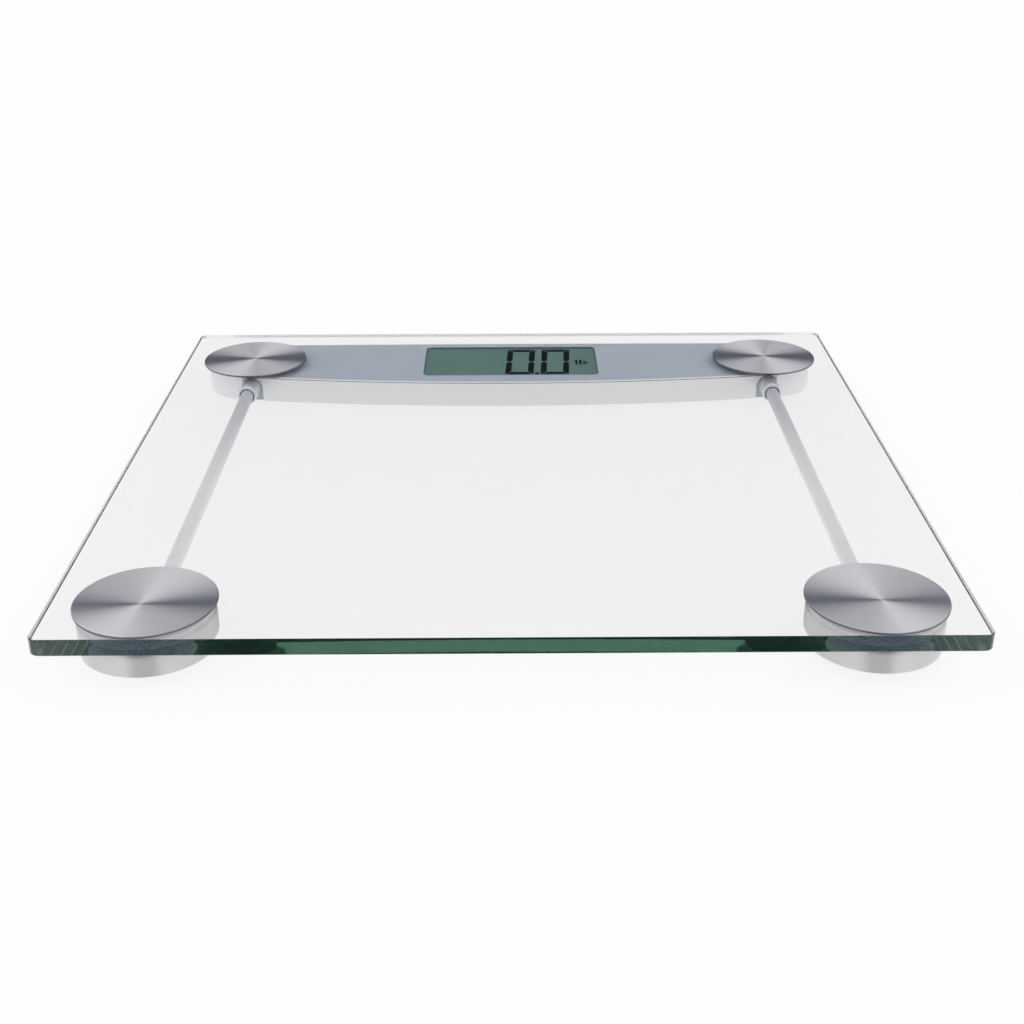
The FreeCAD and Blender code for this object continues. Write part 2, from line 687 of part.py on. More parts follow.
def make_bar_shell():
    """One long shell, open below, with a window for the display and an arched recess for each tube."""
    body = new_body("BarShell")
    outline = new_sketch(body, shift="bar_low")
    bar_outline(outline, "0")
    pad(body, outline, f"{ROOF_TOP} - bar_low")
    hollow = new_sketch(body, shift=ROOF_LOW)
    bar_outline(hollow, "shell_wall")
    pocket(body, hollow, f"{ROOF_LOW} - bar_low")
    add_display_window(body)
    for sign in SIDES.values():
        seat = new_sketch(body, shift=ROOF_TOP)
        rear_glue_outline(seat, sign)
        pocket(body, seat, "glue_seat")
        cut_arch(body, sign)
        bore = new_sketch(body, "XZ_Plane", "-arch_floor + 1")
        circle(bore, f"{sign} * side_x", "tube_height", "tube_radius + tube_play")
        pocket(body, bore, "end_y - arch_floor")
    add_posts(body, cell_post_places(), "ear_radius", CELL_TOP, f"cell_screw_top - {CELL_TOP}")
    add_posts(body, COVER_POSTS, "cover_post", COVER_TOP, "cover_pilot")
    add_posts(body, FRONT_POSTS, "front_post", COVER_TOP, "cover_pilot")
    add_posts(body, BOARD_POSTS, "board_post", BOARD_TOP, "board_pilot")
    length = 2 * value("end_x + end_radius")
    dress(body, "Chamfer", "rim_bevel", lambda edge: lies_at(ROOF_TOP)(edge) and on_bar_rim(edge, length))
    dress(body, "Chamfer", "window_bevel", lambda edge: lies_at(ROOF_TOP)(edge) and round_window(edge))
    node(body, "bar_shell")


def on_bar_rim(edge, length):
    """True for the arcs of the bar's outline, whose radii are those of its ends and long sides."""
    if not isinstance(edge.Curve, Part.Circle):
        return False
    radius = edge.Curve.Radius
    return abs(radius - value("end_radius")) < 0.01 or radius > length


def round_window(edge):
    """True for the edges inside the display's window."""
    middle = edge.BoundBox.Center
    across = abs(middle.x - value("display_x"))
    along = abs(middle.y - value("display_y"))
    return across < value("window_width / 2") + 0.1 and along < value("window_depth / 2") + 0.1


def cut_arch(body, sign):
    """A shallow recess in the bar's front wall, arched above and open below, round a tube's ring."""
    sketch = new_sketch(body, "XZ_Plane", "-ring_front")
    x = f"{sign} * side_x"
    radius = value("arch_radius")
    centre = Vector(value(x), value("arch_height"), 0)
    arch = sketch.addGeometry(arc_piece(centre, radius, 0, math.pi))
    floor = value("bar_low")
    right_foot = Vector(centre.x + radius, floor, 0)
    left_foot = Vector(centre.x - radius, floor, 0)
    left_line = sketch.addGeometry(Part.LineSegment(Vector(left_foot.x, centre.y, 0), left_foot))
    floor_line = sketch.addGeometry(Part.LineSegment(left_foot, right_foot))
    right_line = sketch.addGeometry(Part.LineSegment(right_foot, Vector(right_foot.x, centre.y, 0)))
    pin(sketch, arch, 3, x, "arch_height")
    limit(sketch, "Radius", arch, size="arch_radius")
    sketch.addConstraint(Sketcher.Constraint("Tangent", arch, 2, left_line, 1))
    sketch.addConstraint(Sketcher.Constraint("Coincident", left_line, 2, floor_line, 1))
    sketch.addConstraint(Sketcher.Constraint("Coincident", floor_line, 2, right_line, 1))
    sketch.addConstraint(Sketcher.Constraint("Tangent", right_line, 2, arch, 1))
    sketch.addConstraint(Sketcher.Constraint("Vertical", left_line))
    sketch.addConstraint(Sketcher.Constraint("Vertical", right_line))
    for point in (1, 2):
        limit(sketch, "DistanceY", floor_line, point, size="bar_low")
    pocket(body, sketch, "arch_floor - ring_front")


def add_display_window(body):
    window = new_sketch(body, shift=ROOF_TOP)
    rounded_rectangle(window, "display_x", "display_y", "window_width", "window_depth", "window_corner")
    pocket(body, window, "roof_thick")
    rebate = new_sketch(body, shift=ROOF_LOW)
    rectangle(rebate, "display_x - lcd_width / 2 - lcd_play", "display_x + lcd_width / 2 + lcd_play",
              "display_y - lcd_depth / 2 - lcd_play", "display_y + lcd_depth / 2 + lcd_play")
    pocket(body, rebate, f"seat_top - {ROOF_LOW}", forward=True)


def cell_post_places():
    for sign in SIDES.values():
        for reach in ("ear_reach", "-ear_reach"):
            yield f"{sign} * side_x + {reach}", "rear_foot_y"


def add_posts(body, places, radius, low, pilot_depth):
    """Posts that hang from the roof, each with a pilot hole for a screw from below."""
    places = list(places)
    posts = new_sketch(body, shift=low)
    for x, y in places:
        circle(posts, x, y, radius)
    pad(body, posts, f"{ROOF_LOW} - {low}")
    pilots = new_sketch(body, shift=low)
    for x, y in places:
        circle(pilots, x, y, "screw_shank")
    pocket(body, pilots, pilot_depth, forward=True)


def make_bar_cover():
    """The bar's floor: foot holes with raised rims, the battery block, and holes for button and screws."""
    body = new_body("BarCover")
    outline = new_sketch(body, shift="bar_low")
    bar_outline(outline, "shell_wall + cover_play")
    pad(body, outline, "cover_thick")
    block = new_sketch(body, shift=COVER_TOP)
    rectangle(block, "block_left", "block_right", "block_front", "block_rear")
    pad(body, block, f"battery_top - {COVER_TOP}")
    for sign in SIDES.values():
        rim = new_sketch(body, shift=COVER_TOP)
        circle(rim, f"{sign} * side_x", "rear_foot_y", "foot_hole + collar_wall")
        pad(body, rim, f"hole_top - {COVER_TOP}")
        hole = new_sketch(body, shift="hole_top")
        circle(hole, f"{sign} * side_x", "rear_foot_y", "foot_hole")
        pocket(body, hole, "hole_top - bar_low")
    cut_battery_space(body)
    holes = new_sketch(body, shift=COVER_TOP)
    circle(holes, "-button_x", "button_y", "button_radius + button_play")
    for x, y in COVER_POSTS + FRONT_POSTS:
        circle(holes, x, y, "screw_shank")
    pocket(body, holes, "cover_thick")
    sink_heads(body, "bar_low", COVER_POSTS + FRONT_POSTS)
    node(body, "bar_cover")


def cut_battery_space(body):
    """The coin cell's well, a slot for its side contact, and the door's recess with its hinge groove."""
    well = new_sketch(body, shift="battery_top")
    circle(well, "battery_x", "battery_y", "well_radius")
    pocket(body, well, "battery_top - bar_low")
    slot = new_sketch(body, shift="battery_top")
    rectangle(slot, "battery_x + battery_radius", "battery_x + battery_radius + blade_slot",
              "battery_y - blade_half - slot_play", "battery_y + blade_half + slot_play")
    pocket(body, slot, f"battery_top - {COVER_TOP}")
    recess = new_sketch(body, shift=COVER_TOP)
    front = "battery_y - door_width / 2 - door_play"
    rear = "battery_y + door_width / 2 + door_play"
    rectangle(recess, "hinge_x - knuckle_radius - door_play", "door_end + door_play", front, rear)
    pocket(body, recess, "cover_thick")
    groove = new_sketch(body, shift="hinge_height + knuckle_radius + door_play")
    rectangle(groove, "hinge_x - knuckle_radius - door_play", "hinge_x + knuckle_radius + door_play",
              front, rear)
    pocket(body, groove, "knuckle_radius + door_play + hinge_height - bar_low")
    sockets = new_sketch(body, "XZ_Plane", f"-({front}) + pin_length + cover_play")
    circle(sockets, "hinge_x", "hinge_height", "hinge_pin + pin_play")
    pocket(body, sockets, "door_width + 2 * door_play + 2 * pin_length + 2 * cover_play")
    notch = new_sketch(body, shift=COVER_TOP)
    circle(notch, "door_end", "battery_y", "notch_radius")
    pocket(body, notch, "cover_thick")


def make_battery_door():
    """A flat door that turns down on two short pins, with grip ribs near its free edge."""
    front = "battery_y - door_width / 2"
    rear = "battery_y + door_width / 2"
    plate = box("hinge_x", "door_end", front, rear, "bar_low", "bar_low + door_thick")
    knuckle = cylinder_along_y("hinge_x", front, "hinge_height", "knuckle_radius", "door_width")
    pins = cylinder_along_y("hinge_x", f"{front} - pin_length", "hinge_height", "hinge_pin",
                            "door_width + 2 * pin_length")
    grooves = [
        box(f"door_end - {back} - grip_width", f"door_end - {back}", "battery_y - grip_half",
            "battery_y + grip_half", "bar_low", "bar_low + grip_depth")
        for back in GRIP_PLACES
    ]
    node(cut(fused([plate, knuckle, pins]), fused(grooves)), "battery_door")


def make_battery():
    battery = turned("CoinCell", [
        ("0", "battery_top - battery_thick"), ("battery_radius - cell_round", "battery_top - battery_thick"),
        ("battery_radius", "battery_top - battery_thick + cell_round"),
        ("battery_radius", "battery_top - cell_step"),
        ("battery_radius - 2 * cell_round", "battery_top - cell_step"),
        ("battery_radius - 3 * cell_round", "battery_top"), ("0", "battery_top"),
    ])
    place(battery, "battery_x", "battery_y")
    node(battery, "coin_cell")
    front, rear = "battery_y - blade_half", "battery_y + blade_half"
    upper = box("battery_x - spring_reach", "battery_x + spring_reach", front, rear,
                "battery_top", "board_low")
    node(upper, "battery_contact_negative")
    edge = "battery_x + battery_radius"
    blade = box(f"{edge} + blade_gap", f"{edge} + blade_gap + blade_thick", front, rear,
                f"{COVER_TOP} + blade_rise", "board_low")
    tab = box(f"{edge} + blade_gap + blade_thick", f"{edge} + tab_reach", front, rear,
              "battery_top", "board_low")
    node(fused([blade, tab]), "battery_contact_positive")


def make_unit_button():
    low, flange_low, flange_high = "button_low", f"{COVER_TOP} + flange_gap", f"{COVER_TOP} + flange_top"
    button = turned("Button", [
        ("0", f"{low} + face_dish"), ("button_radius - 3 * face_round", f"{low} + face_dish"),
        ("button_radius - 2 * face_round", low), ("button_radius - face_round", low),
        ("button_radius", f"{low} + face_round"), ("button_radius", flange_low),
        ("button_flange", flange_low), ("button_flange", flange_high), ("switch_plunger", flange_high),
        ("switch_plunger", "button_stem_top"), ("0", "button_stem_top"),
    ])
    place(button, "-button_x", "button_y")
    node(button, "unit_button")
    half = "switch_side / 2"
    housing = box(f"-button_x - {half}", f"-button_x + {half}", f"button_y - {half}", f"button_y + {half}",
                  "switch_low", "board_low")
    guide = cylinder("-button_x", "button_y", "switch_low", "switch_plunger + plunger_play", "guide_depth")
    node(cut(housing, guide), "unit_switch")
    plunger = cylinder("-button_x", "button_y", "button_stem_top", "switch_plunger", "plunger_length")
    node(plunger, "unit_switch_plunger")


def make_electronics():
    board = new_body("Board")
    outline = new_sketch(board, shift="board_low")
    rectangle(outline, "-board_left", "board_right", "board_front", "board_rear")
    for x, y in BOARD_POSTS:
        circle(outline, x, y, "screw_shank")
    pad(board, outline, "board_thick")
    node(board, "circuit_board")
    chip = turned("Chip", [("0", BOARD_TOP), ("5", BOARD_TOP), ("4.4", f"{BOARD_TOP} + 0.7"),
                           ("2.6", f"{BOARD_TOP} + 1.2"), ("0", f"{BOARD_TOP} + 1.35")])
    place(chip, "display_x", "display_y")
    node(chip, "controller_chip")
    make_panel_holder()
    for name, sign in (("front", -1), ("rear", 1)):
        middle = f"(display_y + {sign} * zebra_reach)"
        strip = box("display_x - zebra_length / 2", "display_x + zebra_length / 2",
                    f"{middle} - zebra_width / 2", f"{middle} + zebra_width / 2", BOARD_TOP, "lcd_low")
        node(strip, f"contact_strip_{name}")
    panel = box("display_x - lcd_width / 2", "display_x + lcd_width / 2", "display_y - lcd_depth / 2",
                "display_y + lcd_depth / 2", "lcd_low", "lcd_low + lcd_thick")
    node(panel, "lcd_panel")


def make_panel_holder():
    """A frame under the panel's rim, with a slot for each contact strip."""
    body = new_body("PanelHolder")
    outline = new_sketch(body, shift=BOARD_TOP)
    rounded_rectangle(outline, "display_x", "display_y", "frame_width", "frame_depth", "frame_corner")
    pad(body, outline, f"lcd_low - {BOARD_TOP}")
    opening = new_sketch(body, shift="lcd_low")
    rounded_rectangle(opening, "display_x", "display_y", "frame_hole_width", "frame_hole_depth",
                      "frame_corner")
    pocket(body, opening, f"lcd_low - {BOARD_TOP}")
    half_length = "(zebra_length / 2 + zebra_play)"
    half_width = "(zebra_width / 2 + zebra_play)"
    for sign in (-1, 1):
        middle = f"(display_y + {sign} * zebra_reach)"
        slot = new_sketch(body, shift="lcd_low")
        rectangle(slot, f"display_x - {half_length}", f"display_x + {half_length}",
                  f"{middle} - {half_width}", f"{middle} + {half_width}")
        pocket(body, slot, f"lcd_low - {BOARD_TOP}")
    node(body, "panel_holder")


# ---------------------------------------------------------------- tubes and wires

def make_tube(side, sign):
    x = f"{sign} * side_x"
    length = "tube_front + tube_rear"
    outside = cylinder_along_y(x, "-tube_front", "tube_height", "tube_radius", length)
    inside = cylinder_along_y(x, "-tube_front", "tube_height", "tube_bore", length)
    node(cut(outside, inside), f"wire_tube_{side}")
    snug = "tube_radius + tube_play"
    ring_length = "arch_floor - ring_front"
    ring = turned("Ring", [
        ("lip_bore", "lip_bevel"), ("lip_bore + lip_bevel", "0"), ("lip_radius - lip_bevel", "0"),
        ("lip_radius", "lip_bevel"), ("lip_radius", "lip_length"),
        ("ring_radius - ring_bevel", "lip_length"), ("ring_radius", "lip_length + ring_bevel"),
        ("ring_radius", ring_length), (snug, ring_length), (snug, "mouth_depth"), ("lip_bore", "mouth_depth"),
    ])
    ring.Placement = FreeCAD.Placement(Vector(0, 0, 0), ALONG_Y)
    place(ring, x, "ring_front", "tube_height")
    node(ring, f"tube_ring_{side}")


def rounded_path(points):
    """Straight runs joined by tangent arcs, each as large as its two runs allow."""
    share = 0.45
    edges = []
    start = points[0]
    for before, corner, after in zip(points, points[1:], points[2:]):
        inward = (before - corner).normalize()
        outward = (after - corner).normalize()
        reach = share * min(corner.distanceToPoint(before), corner.distanceToPoint(after))
        half_turn = (math.pi - inward.getAngle(outward)) / 2
        radius = reach / math.tan(half_turn)
        arc_start = corner + inward * reach
        arc_end = corner + outward * reach
        bisector = (inward + outward).normalize()
        middle = corner + bisector * (radius / math.cos(half_turn) - radius)
        edges.append(Part.LineSegment(start, arc_start).toShape())
        edges.append(Part.Arc(arc_start, middle, arc_end).toShape())
        start = arc_end
    edges.append(Part.LineSegment(start, points[-1]).toShape())
    return Part.Wire(edges)


def make_lead(name, points):
    """A bundle of thin wires along a path. Its volume has to be its section times its length."""
    path = rounded_path(points)
    radius = value("lead_radius")
    heading = points[1] - points[0]
    section = Part.Wire(Part.Circle(points[0], heading, radius).toShape())
    solid = path.makePipeShell([section], True, False)
    expected = math.pi * radius ** 2 * path.Length
    if abs(solid.Volume - expected) > 0.02 * expected:
        raise RuntimeError(f"{name}: volume {solid.Volume:.2f}, expected {expected:.2f}")
    item = doc.addObject("Part::Feature", "Lead")
    item.Shape = solid
    item.Placement = FreeCAD.Placement()
    node(item, name)


def make_leads(side, sign):
    """The front lead runs through the tube to the board, the rear lead straight across the bar."""
    x = value("side_x")
    lying = value(f"{CELL_TOP} + lead_radius + lead_lift")
    tube_z = value("tube_height")
    board_z = value(f"{BOARD_TOP} + lead_radius + lead_lift")
    pod_y = -value("front_pod_y")
    gauge_end = value("gauge_depth / 2")
    pad_x = BOARD_PADS[side]
    front = [
        (x, pod_y + gauge_end, lying),
        (x, pod_y + value("climb_start"), lying),
        (x, pod_y + value("climb_end"), tube_z),
        (x, value("front_turn_y"), tube_z),
        (x - value("front_step_x"), value("front_step_y"), tube_z + value("tube_play")),
        (pad_x, value("front_pad_y"), board_z),
    ]
    rear_y = value("rear_foot_y")
    rear = [
        (x - value("gauge_length / 2 + lead_radius"), rear_y + value("rear_start_y"), lying),
        (x - value("rear_step_x"), rear_y + value("rear_pad_y"), lying),
        (x - value("rear_dip_x"), rear_y + value("rear_dip_y"), lying - value("rear_dip")),
        (pad_x, rear_y + value("rear_pad_y"), board_z),
    ]
    for end, points in (("front", front), ("rear", rear)):
        make_lead(f"wire_lead_{end}_{side}", [Vector(sign * px, py, pz) for px, py, pz in points])


# ---------------------------------------------------------------- screws

def make_screws():
    cell_screws = []
    for _, end, sign in CORNERS:
        for reach in ("ear_reach", "-ear_reach"):
            x = f"{sign} * side_x + {reach}"
            cell_screws.append(screw(x, corner_y(end), "cell_low - head_thick", "cell_screw_top"))
    group(cell_screws, "load_cell_screws")
    base_screws = []
    for sign in SIDES.values():
        for x, y in base_screw_places():
            place_x = f"{sign} * side_x + {x}"
            place_y = f"{y} - front_pod_y"
            base_screws.append(screw(place_x, place_y, "pod_low + head_lift", "pod_low + base_screw_length"))
    group(base_screws, "pod_base_screws")
    cover_screws = [
        screw(x, y, "bar_low + head_lift", "bar_low + cover_screw_length")
        for x, y in COVER_POSTS + FRONT_POSTS
    ]
    group(cover_screws, "bar_cover_screws")
    board_screws = [
        screw(x, y, "board_low - head_thick", "board_low + board_screw_length") for x, y in BOARD_POSTS
    ]
    group(board_screws, "board_screws")


# ---------------------------------------------------------------- build, test and write

def build():
    make_platform()
    for corner, end, sign in CORNERS:
        make_disc(corner, end, sign)
        make_glue(corner, end, sign)
        make_load_cell(corner, end, sign)
        make_foot(corner, end, sign)
    for side, sign in SIDES.items():
        make_pod(side, sign)
        make_pod_base(side, sign)
        make_tube(side, sign)
        make_leads(side, sign)
    make_bar_shell()
    make_bar_cover()
    make_battery_door()
    make_battery()
    make_unit_button()
    make_electronics()
    make_screws()
    doc.recompute()


def test():
    """Stop if an object failed, a cut removed nothing, or a sub-part is not whole."""
    problems = []
    for item in doc.Objects:
        if "Invalid" in item.State or "Error" in item.State:
            owner = item.getParentGeoFeatureGroup()
            problems.append(f"{owner.Label if owner else item.Label}, {item.Name}: {item.State}")
        elif item.TypeId == "PartDesign::Pocket" and not item.BaseFeature.Shape.isNull():
            removed = item.BaseFeature.Shape.Volume - item.Shape.Volume
            if removed < 0.01:
                problems.append(f"{item.getParentGeoFeatureGroup().Label}, {item.Name}: cuts nothing")
    for item in nodes:
        shape = item.Shape
        if shape.isNull() or not shape.isValid() or not shape.Solids:
            problems.append(f"{item.Label}: shape is null, invalid or has no solid")
    if problems:
        raise RuntimeError("\n".join(problems))


def write():
    os.makedirs(PARTS_FOLDER, exist_ok=True)
    for item in nodes:
        item.Shape.exportStep(os.path.join(PARTS_FOLDER, item.Label + ".step"))
    print(len(nodes), "sub-parts written")


build()
test()
write()
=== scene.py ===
"""The looks of a clear glass platform scale: its finishes, the digits of its display, the light and the camera."""

import json
import math

import bmesh
import bpy
from mathutils import Matrix, Vector


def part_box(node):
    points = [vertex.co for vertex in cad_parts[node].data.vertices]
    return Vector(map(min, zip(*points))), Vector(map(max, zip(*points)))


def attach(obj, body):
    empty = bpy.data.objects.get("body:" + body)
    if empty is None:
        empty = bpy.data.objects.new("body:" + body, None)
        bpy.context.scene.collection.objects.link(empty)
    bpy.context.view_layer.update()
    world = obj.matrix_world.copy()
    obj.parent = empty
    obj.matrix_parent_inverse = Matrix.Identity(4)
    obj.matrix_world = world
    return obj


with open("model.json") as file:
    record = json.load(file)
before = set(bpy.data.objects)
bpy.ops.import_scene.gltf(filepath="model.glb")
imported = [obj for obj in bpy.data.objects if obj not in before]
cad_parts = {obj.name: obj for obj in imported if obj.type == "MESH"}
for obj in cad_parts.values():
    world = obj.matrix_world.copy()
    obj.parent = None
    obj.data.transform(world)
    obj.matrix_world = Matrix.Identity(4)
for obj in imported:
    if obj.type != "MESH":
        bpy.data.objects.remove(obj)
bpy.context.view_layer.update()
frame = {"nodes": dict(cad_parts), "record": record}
NODES = frame["nodes"]
SCENE = bpy.context.scene
MM = 0.001


# ---------------------------------------------------------------- camera

CAMERA_PLACE = Vector((-0.0007, -0.54976, 0.2582))
CAMERA_LENS = 50.95
CAMERA_PITCH = 0.4507
CAMERA_YAW = 0.0024
CAMERA_ROLL = -0.0041


def make_camera():
    """Stands in front of the platform, a little above it, and looks down along its middle."""
    forward = Vector((
        math.sin(CAMERA_YAW) * math.cos(CAMERA_PITCH),
        math.cos(CAMERA_YAW) * math.cos(CAMERA_PITCH),
        -math.sin(CAMERA_PITCH),
    ))
    level = Vector((math.cos(CAMERA_YAW), -math.sin(CAMERA_YAW), 0.0))
    above = level.cross(forward)
    right = math.cos(CAMERA_ROLL) * level + math.sin(CAMERA_ROLL) * above
    up = right.cross(forward)
    turn = Matrix((right, up, -forward)).transposed()
    data = bpy.data.cameras.new("camera")
    data.lens = CAMERA_LENS
    data.clip_start = 0.01
    camera = bpy.data.objects.new("camera", data)
    camera.matrix_world = Matrix.Translation(CAMERA_PLACE) @ turn.to_4x4()
    SCENE.collection.objects.link(camera)
    SCENE.camera = camera


# ---------------------------------------------------------------- node trees

class Tree:
    """A node tree, with short calls that add a node and give back its output socket."""

    def __init__(self, tree):
        self.tree = tree

    def node(self, kind, inputs=(), **settings):
        """Adds a node. inputs are (socket name or number, value or socket to link)."""
        made = self.tree.nodes.new("ShaderNode" + kind)
        for name, value in settings.items():
            setattr(made, name, value)
        for name, value in inputs:
            self.feed(made, name, value)
        return made

    def feed(self, node, name, value):
        if isinstance(value, bpy.types.NodeSocket):
            self.tree.links.new(value, node.inputs[name])
        else:
            node.inputs[name].default_value = value

    def maths(self, operation, first, second=0.0, third=0.0):
        return self.node("Math", [(0, first), (1, second), (2, third)], operation=operation).outputs[0]

    def spread(self, value, low, high, to_low=0.0, to_high=1.0, smooth=False):
        """Takes value's stretch from low to high over to to_low to to_high, and holds it there outside."""
        kind = "SMOOTHSTEP" if smooth else "LINEAR"
        inputs = [("Value", value), ("From Min", low), ("From Max", high), ("To Min", to_low), ("To Max", to_high)]
        return self.node("MapRange", inputs, interpolation_type=kind).outputs["Result"]

    def blend(self, share, first, second):
        """A colour that goes from first to second as share goes from 0 to 1."""
        mix = self.node("Mix", data_type="RGBA")
        self.feed(mix, 0, share)
        self.feed(mix, 6, first)
        self.feed(mix, 7, second)
        return mix.outputs[2]

    def within(self, value, middle, half):
        """1 where value is less than half away from middle, and 0 elsewhere."""
        apart = self.maths("ABSOLUTE", self.maths("SUBTRACT", value, middle))
        return self.maths("LESS_THAN", apart, half)

    def place(self, stretch=(1.0, 1.0, 1.0)):
        """The shared frame's coordinates in metres, because every CAD node stands at the origin."""
        coordinates = self.node("TexCoord").outputs["Object"]
        return self.node("Mapping", [("Vector", coordinates), ("Scale", stretch)]).outputs["Vector"]

    def noise(self, scale, detail=2.0, stretch=(1.0, 1.0, 1.0)):
        inputs = [("Vector", self.place(stretch)), ("Scale", scale), ("Detail", detail)]
        return self.node("TexNoise", inputs).outputs[0]

    def cells(self, scale):
        inputs = [("Vector", self.place()), ("Scale", scale)]
        return self.node("TexVoronoi", inputs).outputs["Distance"]

    def from_turning_centre(self):
        """The level way out from where a disc was turned, from 0 to about 1 at its rim.

        The front discs were turned a little off their middles, towards the platform's corners.
        """
        coordinates = self.node("TexCoord")
        at = self.node("SeparateXYZ", [("Vector", coordinates.outputs["Object"])]).outputs
        front = self.maths("LESS_THAN", at["Y"], 0.0)
        side = self.maths("MULTIPLY", self.maths("SIGN", at["X"]), front)
        aside = self.maths("MULTIPLY_ADD", side, TURNED_ASIDE, 0.5)
        forward = self.maths("MULTIPLY_ADD", front, -TURNED_FORWARD, 0.5)
        centre = self.node("CombineXYZ", [("X", aside), ("Y", forward)]).outputs[0]
        inputs = [(0, coordinates.outputs["Generated"]), (1, centre)]
        centred = self.node("VectorMath", inputs, operation="SUBTRACT").outputs[0]
        return self.node("VectorMath", [(0, centred), (1, (2.0, 2.0, 0.0))], operation="MULTIPLY").outputs[0]

    def rings(self, outward, count, detail):
        """Uneven rings round the point that outward starts from, about count of them."""
        radius = self.node("VectorMath", [(0, outward)], operation="LENGTH").outputs["Value"]
        inputs = [("W", radius), ("Scale", count), ("Detail", detail)]
        return self.node("TexNoise", inputs, noise_dimensions="1D").outputs[0]


class Finish(Tree):
    """A material round one Principled shader, whose constants sit on the shader's own sockets."""

    def __init__(self, title, roughness, **constants):
        self.material = bpy.data.materials.new(title)
        self.material.use_nodes = True
        super().__init__(self.material.node_tree)
        self.shader = self.tree.nodes["Principled BSDF"]
        self.shader.inputs["Roughness"].default_value = roughness
        for name, value in constants.items():
            self.shader.inputs[name.replace("_", " ").title().replace("Ior", "IOR")].default_value = value

    def facing(self):
        """The X, Y and Z parts of the way a face looks."""
        normal = self.node("NewGeometry").outputs["True Normal"]
        return self.node("SeparateXYZ", [("Vector", normal)]).outputs

    def facing_up(self):
        """From 0 on walls to 1 on level roofs."""
        return self.spread(self.facing()["Z"], *ROOF_SLOPE)

    def spot(self):
        """The X, Y and Z of each point's place."""
        return self.node("SeparateXYZ", [("Vector", self.place())]).outputs

    def colour(self, share, first, second):
        self.feed(self.shader, "Base Color", self.blend(share, (*first, 1.0), (*second, 1.0)))

    def roughen(self, value, low, high):
        """Roughness from low to high over the range that noise mostly keeps to."""
        self.feed(self.shader, "Roughness", self.spread(value, *NOISE_RANGE, low, high))

    def bump(self, height, depth):
        """Raises the surface by depth metres where height is 1."""
        normal = self.node("Bump", [("Height", height), ("Distance", depth)]).outputs["Normal"]
        self.feed(self.shader, "Normal", normal)


# ---------------------------------------------------------------- finishes

NOISE_RANGE = (0.3, 0.7)
ROOF_SLOPE = (0.6, 0.95)

# Glass, with its satin side edges and the wave in its front edge.
GLASS_IOR = 1.52
GLASS_TINT = (0.69, 0.79, 0.74, 1.0)
GLASS_DENSITY = 28.0
GLASS_COATING = (1.0, 0.985, 0.993, 1.0)
SATIN_DARK = (0.56, 0.56, 0.61, 1.0)
SATIN_LIGHT = (0.66, 0.66, 0.71, 1.0)
SATIN_SHARE = 0.45
SIDE_SLOPE = (0.4, 0.7)
FRONT_SLOPE = (0.3, 0.8)
WAVE_DEPTH = 0.007 * MM

# How far off their middles the front discs were turned, as shares of their width.
TURNED_ASIDE = 0.025
TURNED_FORWARD = 0.05

# The display bar: where its paint is painted dark as shade, in a thin line under its roof's bevel and in the recess
# round each tube.
BAR_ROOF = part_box("bar_shell")[1].z
SHADOW_LINE_BELOW_ROOF = 0.65 * MM
SHADOW_LINE_HALF = 0.16 * MM
ARCH_HALF = 6.0 * MM
ARCH_FLOOR_HALF = 0.05 * MM
ARCH_SHADE = 0.6

# Painted light: how strongly the pods' roofs glow, to lift the disc's shadow on them.
POD_ROOF_PAINTED_GLOW = 0.25
# Painted shade: where along the tubes the coat goes from pale at the front to grey near the bar.
TUBE_PAINTED_SHADE_SPAN = (-30.0 * MM, 90.0 * MM)


def clear_glass():
    """Float glass: polished faces, partly satin side edges, a fine wave in the front edge, and a green depth."""
    finish = Finish("clear_glass", 0.0)
    tree = finish.tree
    tree.nodes.remove(finish.shader)
    facing = finish.facing()
    front = finish.spread(finish.maths("ABSOLUTE", facing["Y"]), *FRONT_SLOPE)
    forward = finish.maths("LESS_THAN", finish.spot()["Y"], 0.0)
    wave = finish.noise(260.0, 3.0, (1.0, 1.0, 0.35))
    wave = finish.maths("MULTIPLY", wave, finish.maths("MULTIPLY", front, forward))
    normal = finish.node("Bump", [("Height", wave), ("Distance", WAVE_DEPTH)]).outputs["Normal"]
    fresnel = finish.node("Fresnel", [("IOR", GLASS_IOR), ("Normal", normal)]).outputs[0]
    inputs = [("Color", GLASS_COATING), ("Roughness", 0.0), ("IOR", GLASS_IOR), ("Normal", normal)]
    through = finish.node("BsdfRefraction", inputs)
    glass = finish.node("BsdfGlass", [("Roughness", 0.0), ("IOR", GLASS_IOR), ("Normal", normal)])
    mixed = finish.node("MixShader", [("Fac", fresnel), (1, through.outputs[0]), (2, glass.outputs[0])])
    grain = finish.noise(2500.0, 2.0)
    satin = finish.node("BsdfDiffuse", [("Color", finish.blend(grain, SATIN_DARK, SATIN_LIGHT))])
    side = finish.spread(finish.maths("ABSOLUTE", facing["X"]), *SIDE_SLOPE, 0.0, SATIN_SHARE)
    mixed = finish.node("MixShader", [("Fac", side), (1, mixed.outputs[0]), (2, satin.outputs[0])])
    depth = finish.node("VolumeAbsorption", [("Color", GLASS_TINT), ("Density", GLASS_DENSITY)])
    output = tree.nodes["Material Output"]
    finish.feed(output, "Surface", mixed.outputs[0])
    finish.feed(output, "Volume", depth.outputs[0])
    return finish.material


